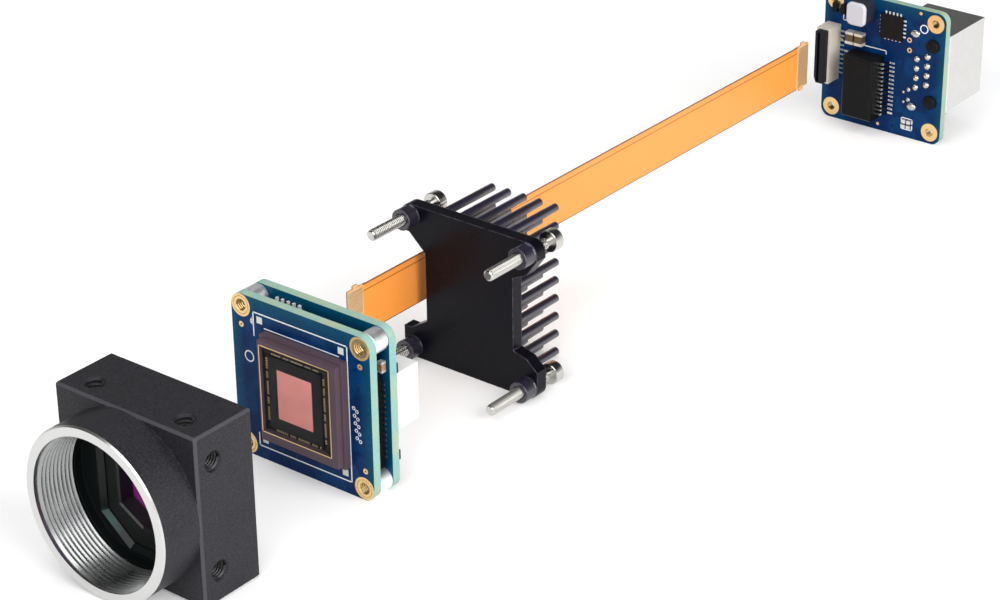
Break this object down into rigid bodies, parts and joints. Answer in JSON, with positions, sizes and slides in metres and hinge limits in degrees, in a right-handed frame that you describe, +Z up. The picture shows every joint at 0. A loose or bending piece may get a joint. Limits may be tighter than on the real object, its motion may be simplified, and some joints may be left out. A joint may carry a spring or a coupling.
{
  "type": "board level camera",
  "caption": "Board level camera set out apart along its axis: lens mount, sensor boards, pin heatsink with screws, flat cable and network interface board.",
  "frame": {"origin": "centre of the lens mount's lower face, on the surface that all the groups stand on", "axes": "+X along the optical axis from the lens mount to the network jack, +Y to the side with the flat cable, +Z up"},
  "size_m": [0.236, 0.029, 0.029],
  "materials": {
    "anodised_housing": "black anodised, bead blasted, with a bare turned lens ring",
    "filter_holder": "matt black moulding",
    "filter_coating": "coated glass with a purple reflection",
    "seal_rubber": "soft black foam",
    "circuit_board": "blue solder mask on a pale green laminate",
    "brass_plate": "gold flashed brass",
    "bright_steel": "bright tin or nickel plate",
    "sensor_ceramic": "purple brown ceramic",
    "sensor_silicon": "salmon imaging area in a black border",
    "clear_glass": "clear lid",
    "black_moulding": "black moulded plastic",
    "cream_moulding": "natural cream moulded plastic",
    "lock_moulding": "dark grey moulded plastic",
    "chip_epoxy": "dark epoxy",
    "pad_rubber": "soft grey filled silicone",
    "anodised_heatsink": "smooth black anodised",
    "cable_film": "orange translucent film over copper",
    "stiffener_film": "brown backing film",
    "inductor_ferrite": "pale coated ferrite",
    "capacitor_ceramic": "brown ceramic with tinned ends",
    "solder": "shiny solder"
  },
  "bodies": {
    "lens_housing": {"lens_mount": "anodised_housing", "filter_frame": "filter_holder", "filter_glass": "filter_coating", "filter_gasket": "seal_rubber"},
    "sensor_stack": {"sensor_board": "circuit_board", "threaded_inserts": "brass_plate", "board_spacers": "bright_steel", "main_board": "circuit_board", "sensor_package": "sensor_ceramic", "sensor_die": "sensor_silicon", "sensor_cover_glass": "clear_glass", "stack_socket": "black_moulding", "stack_plug": "black_moulding", "stack_contacts": "bright_steel", "power_header": "black_moulding", "power_header_pins": "bright_steel", "stack_chips": "chip_epoxy", "edge_capacitor": "capacitor_ceramic", "image_processor": "chip_epoxy", "thermal_pad": "pad_rubber", "side_header": "cream_moulding", "side_header_pins": "bright_steel", "edge_chips": "chip_epoxy", "rear_cable_socket": "cream_moulding", "rear_socket_contacts": "bright_steel"},
    "rear_lock": {"rear_cable_lock": "lock_moulding"},
    "cooler": {"heatsink": "anodised_heatsink", "heatsink_screws": "bright_steel"},
    "cable": {"flat_cable": "cable_film", "cable_stiffeners": "stiffener_film", "cable_contacts": "brass_plate"},
    "interface_module": {"interface_board": "circuit_board", "front_cable_socket": "cream_moulding", "front_socket_contacts": "bright_steel", "transformer": "black_moulding", "transformer_leads": "bright_steel", "power_inductor": "inductor_ferrite", "controller_chip": "chip_epoxy", "controller_leads": "bright_steel", "ceramic_capacitors": "capacitor_ceramic", "corner_chips": "chip_epoxy", "chip_resistors": "chip_epoxy", "jack_shield": "bright_steel", "jack_insert": "black_moulding", "jack_contacts": "brass_plate", "solder_joints": "solder"},
    "front_lock": {"front_cable_lock": "lock_moulding"}
  },
  "joints": [
    {"name": "lens_mount_fitting", "type": "slide", "parent": "sensor_stack", "child": "lens_housing", "axis": [1, 0, 0], "range_m": [0, 0.02625]},
    {"name": "heatsink_fitting", "type": "slide", "parent": "sensor_stack", "child": "cooler", "axis": [-1, 0, 0], "range_m": [0, 0.03305]},
    {"name": "cable_plugging", "type": "slide", "parent": "sensor_stack", "child": "cable", "axis": [-1, 0, 0], "range_m": [0, 0.0176]},
    {"name": "interface_plugging", "type": "slide", "parent": "cable", "child": "interface_module", "axis": [-1, 0, 0], "range_m": [0, 0.0087]},
    {"name": "rear_lock_slide", "type": "slide", "parent": "sensor_stack", "child": "rear_lock", "axis": [-1, 0, 0], "range_m": [0, 0.0014]},
    {"name": "front_lock_slide", "type": "slide", "parent": "interface_module", "child": "front_lock", "axis": [1, 0, 0], "range_m": [0, 0.0014]}
  ]
}
